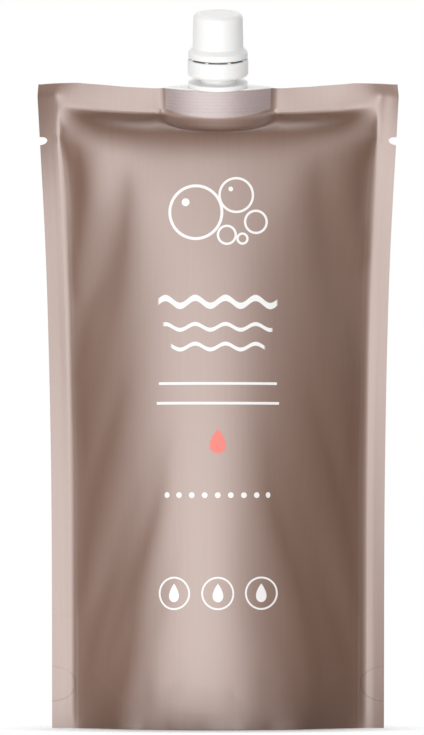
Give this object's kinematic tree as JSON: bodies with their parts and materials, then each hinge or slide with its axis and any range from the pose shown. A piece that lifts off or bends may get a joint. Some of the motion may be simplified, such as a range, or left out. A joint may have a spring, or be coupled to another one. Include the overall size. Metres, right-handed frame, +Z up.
{
  "type": "hand soap refill pouch",
  "caption": "Filled stand-up film pouch for hand soap refills, with a bottom gusset, sealed edges and tear notches, and a spout with a tamper band and brimmed screw cap in its top seal.",
  "frame": {"origin": "middle of the flat base that the pouch stands on", "axes": "+Z up, -Y towards the printed front, +X along the width"},
  "size_m": [0.14, 0.0533, 0.2754],
  "materials": {
    "film": "satin metallic laminate film",
    "spout": "satin moulded",
    "band": "satin moulded",
    "cap": "satin moulded"
  },
  "bodies": {
    "pack": {"pouch": "film", "spout": "spout", "tamper_band": "band"},
    "cap": {"cap": "cap"}
  },
  "joints": [
    {"name": "cap_turn", "type": "hinge", "parent": "pack", "child": "cap", "pos_m": [0, -0.01967, 0.26521], "axis": [0, -0.2079, 0.9781], "range_deg": [0, 540]}
  ]
}
